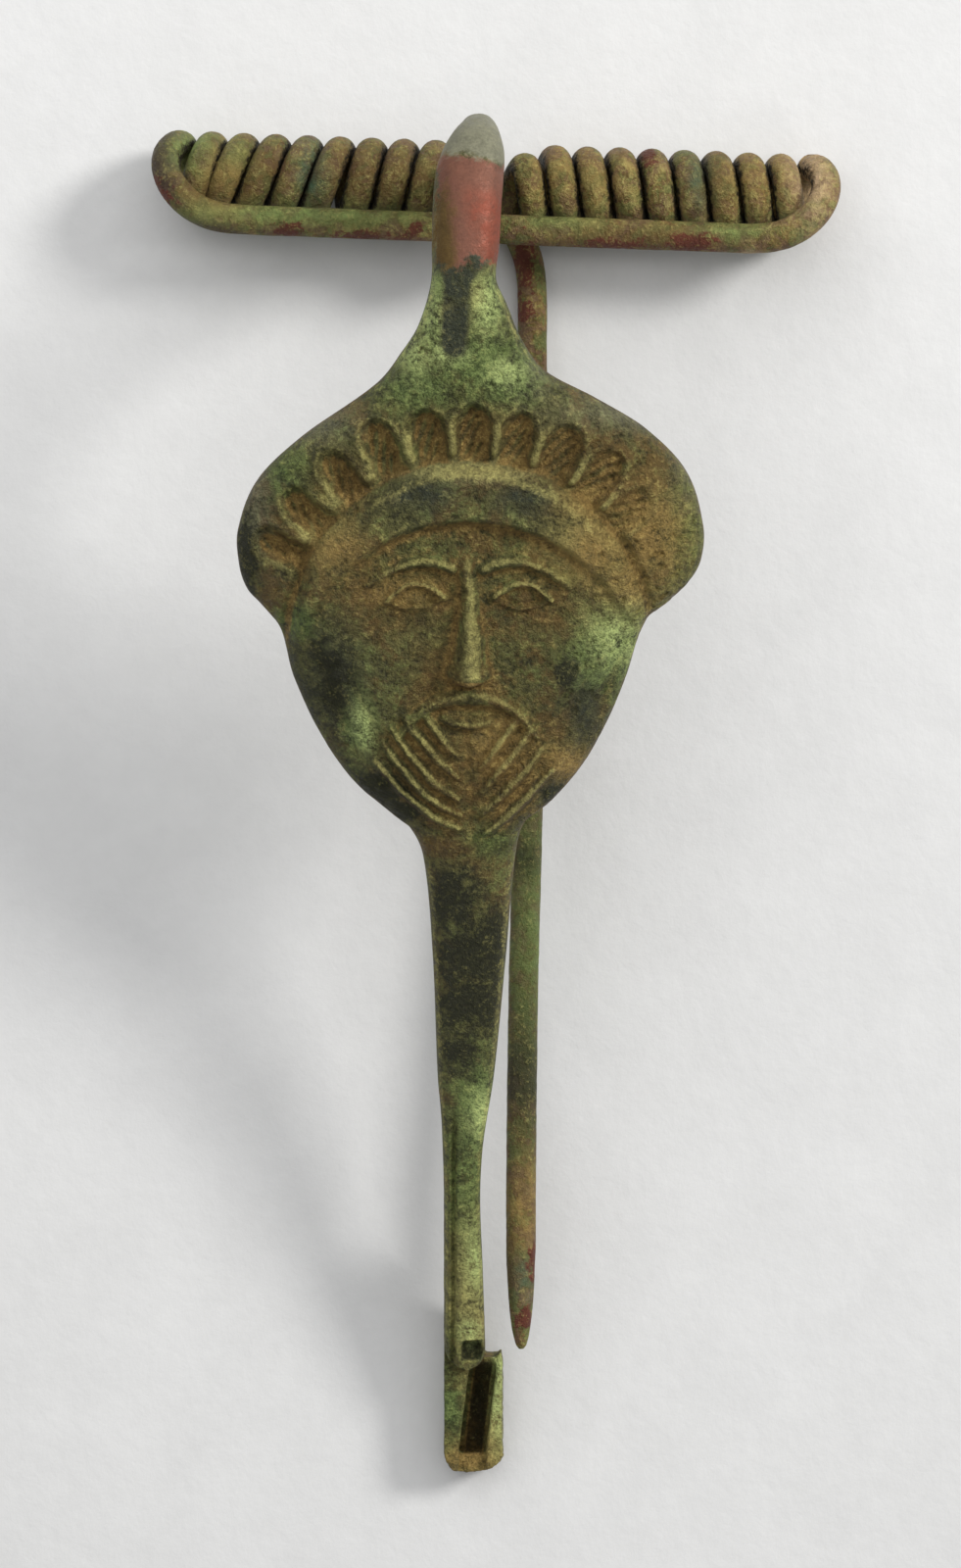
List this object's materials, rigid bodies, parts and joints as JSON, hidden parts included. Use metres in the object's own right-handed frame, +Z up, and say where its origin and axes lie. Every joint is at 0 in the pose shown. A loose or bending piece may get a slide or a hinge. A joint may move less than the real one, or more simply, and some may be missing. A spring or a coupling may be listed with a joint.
{
  "type": "fibula brooch",
  "caption": "Arched bronze bow brooch with a bearded mask on the bow, a wound wire spring at the head, a sprung pin and a catch at the foot.",
  "frame": {"origin": "on the surface the brooch lies on, under the middle of its bounding box", "axes": "+X along the spring, +Y from the foot towards the head, +Z up, out of the mask"},
  "size_m": [0.0382, 0.0748, 0.0244],
  "materials": {
    "cast_bronze": "green and olive patina with brown dirt in the hollows, worn to red copper on the head",
    "bronze_wire": "olive brown patina with green and ochre patches and red wear on the chord"
  },
  "bodies": {
    "brooch": {"bow": "cast_bronze", "spring": "bronze_wire"},
    "pin": {"pin": "bronze_wire"}
  },
  "joints": [
    {"name": "pin_spring", "type": "hinge", "parent": "brooch", "child": "pin", "pos_m": [-0.00143, 0.03433, 0.00237], "axis": [0.9993, -0.0375, 0], "range_deg": [-4, 18], "stiffness_Nm_per_rad": 0.18}
  ]
}
